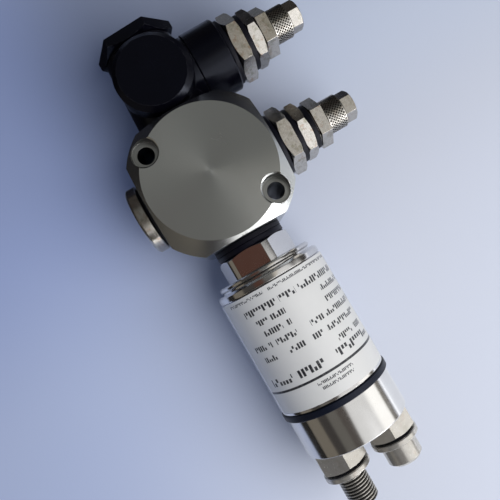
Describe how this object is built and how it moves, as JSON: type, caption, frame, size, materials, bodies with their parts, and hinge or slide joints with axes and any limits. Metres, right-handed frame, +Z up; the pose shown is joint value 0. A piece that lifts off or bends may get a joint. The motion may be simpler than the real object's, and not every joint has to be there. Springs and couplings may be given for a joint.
{
  "type": "pressure sensor",
  "caption": "Pressure transmitter screwed into a round manifold block with a blanking plug, a swivel elbow, hose fittings with knurled union nuts, and round plug connectors.",
  "frame": {"origin": "centre of the manifold block's underside, on the surface it stands on", "axes": "+X along the transmitter towards its connectors, +Y along the hose fittings towards the hoses, +Z up"},
  "size_m": [0.2036, 0.0964, 0.05],
  "materials": {
    "block_aluminium": "satin, lathe-turned, bare",
    "seal_rubber": "smooth matte black",
    "black_washer": "dark satin bonded washer",
    "nickel_brass": "nickel plated, lightly polished",
    "black_anodised": "black, semi-gloss",
    "stainless": "fine turned, bright",
    "label_film": "white printed film, satin",
    "carrier_plastic": "moulded black",
    "circuit_board": "solder mask",
    "gold_contact": "gold flashed"
  },
  "bodies": {
    "base": {"manifold_block": "block_aluminium", "plug_seal": "seal_rubber", "blanking_plug": "nickel_brass", "direct_port_seal": "seal_rubber", "direct_port_washer": "black_washer", "direct_reducer": "nickel_brass", "direct_reducer_seal": "seal_rubber", "direct_adapter": "nickel_brass", "direct_adapter_seal": "seal_rubber", "direct_connector": "nickel_brass", "elbow_body": "black_anodised", "elbow_block_seal": "seal_rubber", "elbow_head_seal": "seal_rubber", "hollow_bolt": "black_anodised", "elbow_port_seal": "seal_rubber", "elbow_reducer": "nickel_brass", "elbow_reducer_seal": "seal_rubber", "elbow_adapter": "nickel_brass", "elbow_connector": "nickel_brass", "transmitter_seal": "seal_rubber", "transmitter_washer": "black_washer", "process_connection": "stainless", "sensor_cell": "stainless", "case_tube": "stainless", "type_label": "label_film", "head_gasket": "seal_rubber", "connector_head": "stainless", "board_carrier": "carrier_plastic", "main_board": "circuit_board", "board_link": "carrier_plastic", "board_chips": "carrier_plastic", "connector_board": "circuit_board", "male_connector": "nickel_brass", "male_ring": "seal_rubber", "male_insert": "carrier_plastic", "male_pins": "gold_contact", "female_connector": "nickel_brass", "female_ring": "seal_rubber", "female_insert": "carrier_plastic", "female_contacts": "gold_contact"},
    "direct_nut": {"direct_union_nut": "nickel_brass"},
    "elbow_nut": {"elbow_union_nut": "nickel_brass"}
  },
  "joints": [
    {"name": "direct_nut_turn", "type": "hinge", "parent": "base", "child": "direct_nut", "pos_m": [0, 0.0504, 0.025], "axis": [0, 1, 0], "continuous": true},
    {"name": "elbow_nut_turn", "type": "hinge", "parent": "base", "child": "elbow_nut", "pos_m": [-0.0426, 0.0503, 0.025], "axis": [0, 1, 0], "continuous": true}
  ]
}
